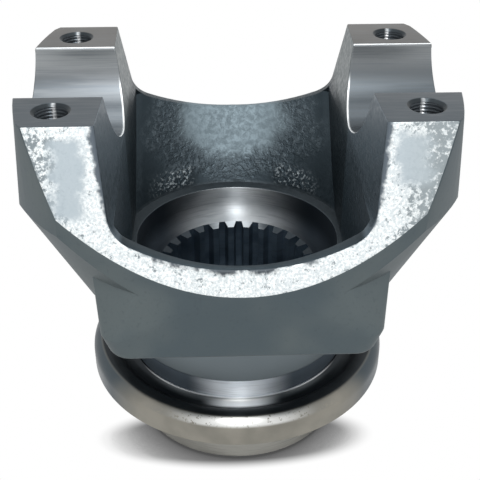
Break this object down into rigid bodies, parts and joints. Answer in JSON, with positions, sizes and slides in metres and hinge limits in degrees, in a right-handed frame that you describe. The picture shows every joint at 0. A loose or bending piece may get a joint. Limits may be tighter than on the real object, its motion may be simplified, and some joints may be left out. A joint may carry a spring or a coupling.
{
  "type": "differential yoke",
  "caption": "Forged half-round end yoke with tapped ears, a splined hub, a nut counterbore and a pressed steel dust deflector.",
  "frame": {"origin": "centre of the nose end, the flat ring that the part stands on", "axes": "+Z along the shaft axis towards the bearing caps, +X along the bearing caps' centre line, across the two ears"},
  "size_m": [0.1672, 0.1468, 0.158],
  "materials": {
    "forged_steel": "shot-blasted forging with machined seats and bores",
    "pressed_steel": "dull pressed sheet"
  },
  "bodies": {
    "root": {"yoke": "forged_steel", "dust_deflector": "pressed_steel"}
  },
  "joints": []
}
